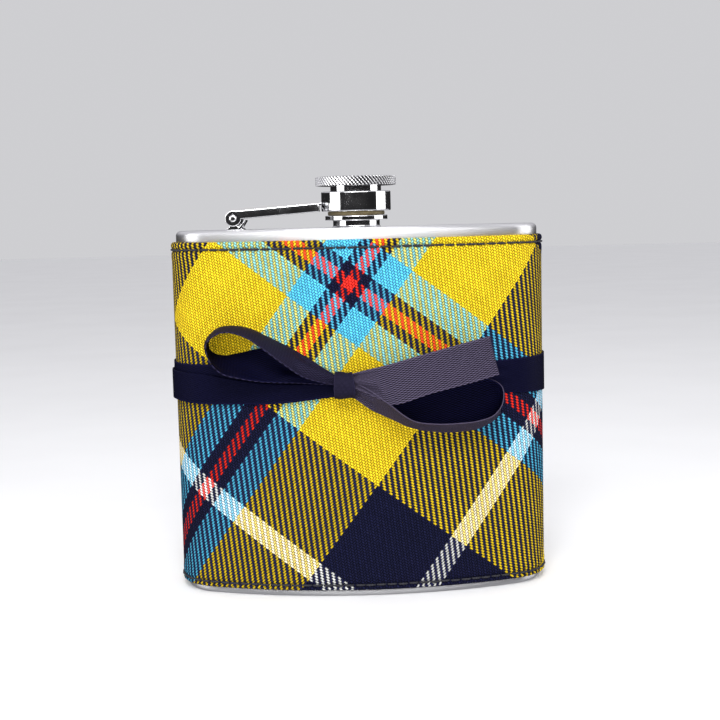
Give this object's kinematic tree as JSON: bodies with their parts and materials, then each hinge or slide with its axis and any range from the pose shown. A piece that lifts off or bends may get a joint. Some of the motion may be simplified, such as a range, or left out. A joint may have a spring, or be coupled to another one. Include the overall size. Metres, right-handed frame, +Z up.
{
  "type": "hip flask",
  "caption": "Curved pocket flask with a hinged captive screw cap, a sewn tartan cloth sleeve and a ribbon bow tied round it.",
  "frame": {"origin": "middle of the flat base, on the middle line of the body's curve", "axes": "+Z up through the spout, +X to the right as seen from the bulging front, +Y towards the hollow back"},
  "size_m": [0.096, 0.0379, 0.1052],
  "materials": {
    "brushed_steel": "fine level brushing",
    "polished_steel": "bright polish",
    "gasket": "cream, slightly translucent",
    "tartan": "wool twill, yellow and navy check",
    "lining": "dull cloth",
    "thread": "dark sewing thread",
    "ribbon": "satin, near black"
  },
  "bodies": {
    "flask": {"body_shell": "brushed_steel", "top_plate": "brushed_steel", "bottom_plate": "brushed_steel", "spout": "polished_steel", "spout_gasket": "gasket", "hinge_bracket": "polished_steel", "hinge_pin": "polished_steel", "fabric_sleeve": "tartan", "top_hem": "lining", "bottom_hem": "lining", "back_seam": "lining", "top_stitching": "thread", "bottom_stitching": "thread", "ribbon_band": "ribbon", "ribbon_knot": "ribbon", "ribbon_loop_left": "ribbon", "ribbon_loop_right": "ribbon", "ribbon_tail_left": "ribbon", "ribbon_tail_right": "ribbon"},
    "arm": {"hinge_arm": "polished_steel", "captive_collar": "polished_steel"},
    "lift": {"cap_seal": "gasket"},
    "cap": {"cap_barrel": "polished_steel", "cap_knob": "polished_steel"}
  },
  "joints": [
    {"name": "arm_swing", "type": "hinge", "parent": "flask", "child": "arm", "pos_m": [-0.0308, 0, 0.09543], "axis": [0, -1, 0], "range_deg": [0, 170]},
    {"name": "cap_lift", "type": "slide", "parent": "arm", "child": "lift", "axis": [0, 0, 1], "range_m": [0, 0.0032]},
    {"name": "cap_turn", "type": "hinge", "parent": "lift", "child": "cap", "pos_m": [0, 0, 0.1], "axis": [0, 0, 1], "range_deg": [0, 900]}
  ],
  "couplings": [
    {"joint": "cap_lift", "follows": "cap_turn", "m_per_rad": 0.00019894}
  ]
}
